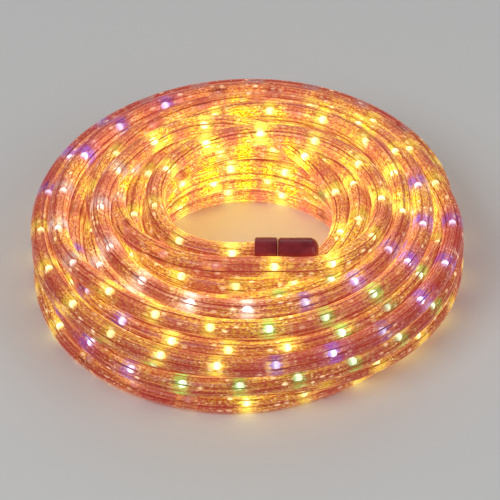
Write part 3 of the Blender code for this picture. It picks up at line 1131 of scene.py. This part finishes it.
def dark_and_bright_lines(finish, streaks, patch):
    """How much a point lies on a dark line (a wire, a hair line or the painted shade in a groove), and how
    much on a painted highlight beside one.
    """
    groove_shade_mask = finish.attribute("groove_shade_mask", NUMBER)
    wire = lines_round(finish, WIRES_SEEN, 0.0).bounded(0.90, 0.985)
    hair = lines_round(finish, HAIRS_SEEN, 1.5).bounded(0.78, 0.97) * (streaks * 0.7 + 0.3)
    # Painted shade in the grooves, with the dark lines of the wires and hairs
    dark = groove_shade_mask.bounded(0.42, 0.80).larger(wire * 0.85).larger(hair * 0.8)
    # Painted highlights: thin glint lines along the rope
    glint = lines_round(finish, HAIRS_SEEN, 2.9).bounded(0.86, 0.99) * (streaks * 0.5 + patch * 0.5)
    # A painted highlight on the lip of each groove
    beside = groove_shade_mask.bounded(0.14, 0.26) * (1.0 - groove_shade_mask.bounded(0.26, 0.42))
    return dark, beside.larger(glint * 0.9)


print(WIRES_SEEN + HAIRS_SEEN, "dark lines round the tube")

# %% The jacket's finish, layer on layer
SPARK_LIGHT = colour(0.9, 0.82, 0.50)
PATCH_SCALE = 38.0
STREAK = (26 * MM, 0.6 * MM)
GRAIN = (1.6 * MM, 0.8 * MM)
SMALL_SPARK = 1.1 * MM
LARGE_SPARK = 2.6 * MM

# Distances from a lamp: where its glow starts to fade and where it ends, and where its window does
GLOW_FADES = (2.0 * MM, 12 * MM)
CORE_FADES = (0.8 * MM, 4.6 * MM)
WINDOW_FADES = (3.0 * MM, 7.0 * MM)
WINDOW_CLEAR = 0.5


def jacket_finish():
    """The five layers, one after the other, and the surface over them."""
    finish = Finish("lit clear jacket")
    light = finish.attribute("lamp_light", COLOUR)
    own = finish.attribute("own_lamp", COLOUR)
    patch = finish.noise(PATCH_SCALE, 1.0).bounded(0.42, 0.60)
    streaks = flecks(finish, *STREAK, 0.0).bounded(0.42, 0.58)
    grain = flecks(finish, *GRAIN, 3.0).bounded(0.45, 0.56)
    away = from_lamp(finish)
    near = 1.0 - away.bounded(*GLOW_FADES)
    close = 1.0 - away.bounded(*CORE_FADES)

    body = plastic(finish, streaks, grain, light, patch)
    shared = finish.scaled(light, (grain * 0.9 + 0.3) * (patch * 0.7 + 0.38))
    glow = finish.scaled(own, near * (grain * 0.45 + 0.1) + close * (streaks * 0.7 + 0.35))
    lit = finish.added(finish.mix(close * (grain * 0.35 + 0.5), finish.added(body, shared), own), glow)

    small = sparks(finish, SMALL_SPARK, 5.0, 0.35) * 0.55
    large = sparks(finish, LARGE_SPARK, 9.0, 0.60)
    dots = small.larger(large) * (patch * 0.5 + near * 0.4 + 0.3)
    sparkling = finish.added(lit, finish.scaled(SPARK_LIGHT, dots))

    # The dark lines and the painted groove shade, then the painted highlights over them
    dark, bright = dark_and_bright_lines(finish, streaks, patch)
    lined = finish.mix(dark * 0.85, sparkling, LINE_AND_GROOVE_SHADE_RED)
    rimmed = finish.added(lined, finish.scaled(RIM_LIGHT, bright * (streaks * 0.4 + 0.1)))
    return finish.surface(
        Base_Color=colour(0.16, 0.010, 0.008),
        Emission_Color=rimmed,
        Emission_Strength=0.9,
        Roughness=streaks * 0.08 + patch * 0.06 + 0.13,
        Specular_IOR_Level=0.25,
        Alpha=away.bounded(*WINDOW_FADES) * WINDOW_CLEAR + (1.0 - WINDOW_CLEAR),
        Normal=finish.relief(streaks, 0.25, 0.04 * MM),
    )


jacket.data.materials.append(jacket_finish())

# %% [markdown]
# ## The bulbs and the wires
#
# A bulb is glass full of light: the colour that each of its points keeps goes straight to the emission.
# The wires are copper, bright where it is bare and brown where it has tarnished. The jacket is
# see-through only over the lamps, so they show there, and its own dark lines stand for them elsewhere.

# %% The finishes inside the rope
TARNISH_SCALE = 300.0


def bulb_finish():
    """Glass that glows in the colours its points keep."""
    finish = Finish("bulb glass")
    bulb = finish.attribute("bulb", COLOUR)
    return finish.surface(Base_Color=colour(0.8, 0.8, 0.8), Emission_Color=bulb, Emission_Strength=1.0)


def wire_finish():
    """Copper, brown and duller where it has tarnished."""
    finish = Finish("copper wire")
    tarnish = finish.noise(TARNISH_SCALE, 2.0).bounded(0.4, 0.6)
    copper = finish.mix(tarnish, colour(0.30, 0.07, 0.03), colour(0.12, 0.02, 0.012))
    return finish.surface(Base_Color=copper, Metallic=0.6, Roughness=tarnish * 0.2 + 0.3)


lamps.data.materials.append(bulb_finish())
copper = wire_finish()
for wire in wires:
    wire.data.materials.append(copper)

# %% [markdown]
# ## The moulded fittings
#
# The collar, the cap on it and the cap on the rope's other end are moulded from one dark red plastic.
# Their shapes are right in the engineering model, so they stay, and only get a better finish. The
# plastic is a little cloudy, a little light leaks through it, painted on as a faint glow, handling has
# left some places smoother than others, and fine scuffs run over it, which a bump shows better than a
# change of colour does.

# %% The plastic of the connector and the caps
MOULDED_NODES = ("connector_collar", "connector_cap", "end_cap")
CLOUD_SCALE = 90.0
SCUFF_SCALE = 1400.0


def moulded_finish():
    """Cloudy dark red plastic with scuffs, and a faint painted glow."""
    finish = Finish("moulded dark plastic")
    cloud = finish.noise(CLOUD_SCALE, 2.0).bounded(0.4, 0.6)
    scuffs = finish.noise(SCUFF_SCALE, 3.0)
    shade = finish.mix(cloud, colour(0.13, 0.004, 0.008), colour(0.20, 0.009, 0.013))
    dulled = finish.mix(scuffs.bounded(0.62, 0.75) * 0.5, shade, colour(0.32, 0.05, 0.05))
    return finish.surface(
        Base_Color=dulled,
        # A faint painted glow, for the light that leaks through from the rope
        Emission_Color=finish.scaled(shade, 0.35),
        Emission_Strength=1.0,
        Roughness=cloud * 0.12 + 0.2,
        Normal=finish.relief(scuffs, 0.15, 0.1 * MM),
    )


moulded = moulded_finish()
for name in MOULDED_NODES:
    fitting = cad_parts[name]
    fitting.data.materials.clear()
    fitting.data.materials.append(moulded)

# %% [markdown]
# ## Floor and lights
#
# The floor is plain and pale, and three soft area lights stand well away from the coil. They are weak:
# most of the light on the coil is its own, and strong lamps would wash it out. The view transform is
# the plain one, because Blender's default turns bright yellow towards white.

# %% A pale floor
FLOOR_HALF_SIDE = 3.0


def add_floor():
    """A plain pale floor, much larger than the view."""
    bpy.ops.object.select_all(action="DESELECT")
    bpy.ops.mesh.primitive_grid_add(x_subdivisions=2, y_subdivisions=2, size=2 * FLOOR_HALF_SIDE)
    floor = bpy.context.object
    floor.name = "floor"
    pale = Finish("pale floor")
    floor.data.materials.append(pale.surface(Base_Color=colour(0.80, 0.80, 0.78), Roughness=0.7))
    return floor


add_floor()
print(f"the floor is {2 * FLOOR_HALF_SIDE:.0f} m wide")

# %% Three soft lights and a dim room
LIGHTS = (
    ("key", (-0.8, -0.7, 1.2), 0.8, 7.0),
    ("fill", (1.0, -0.5, 0.9), 0.9, 3.0),
    ("back", (0.2, 1.1, 1.0), 0.8, 1.6),
)
ROOM_COLOUR = colour(0.80, 0.82, 0.85)
ROOM_STRENGTH = 0.32


def add_light(name, place, size, power):
    """A square area light at a place, aimed at the coil."""
    lamp = bpy.data.lights.new(name, "AREA")
    lamp.size = size
    lamp.energy = power
    light = bpy.data.objects.new(name, lamp)
    light.location = place
    light.rotation_euler = (-Vector(place)).to_track_quat("-Z", "Y").to_euler()
    bpy.context.scene.collection.objects.link(light)


def add_room():
    """An even, dim light from all around."""
    room = bpy.data.worlds.new("room")
    room.use_nodes = True
    room.node_tree.nodes["Background"].inputs["Color"].default_value = ROOM_COLOUR
    room.node_tree.nodes["Background"].inputs["Strength"].default_value = ROOM_STRENGTH
    bpy.context.scene.world = room


for light in LIGHTS:
    add_light(*light)
add_room()
bpy.context.scene.view_settings.view_transform = "Standard"
print(len(LIGHTS), "lights")

# %% [markdown]
# ## Which body each piece moves with
#
# Last, the jacket, the lamps and the wires say which body they move with: the same one, so the
# lamps and the wires go wherever the jacket goes. The jacket stands for the engineering model's plain
# coil and for its two ends, which are hidden.

for piece in (jacket, lamps, *wires):
    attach(piece, "root")
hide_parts("rope_coil", "rope_inner_end", "rope_outer_end")
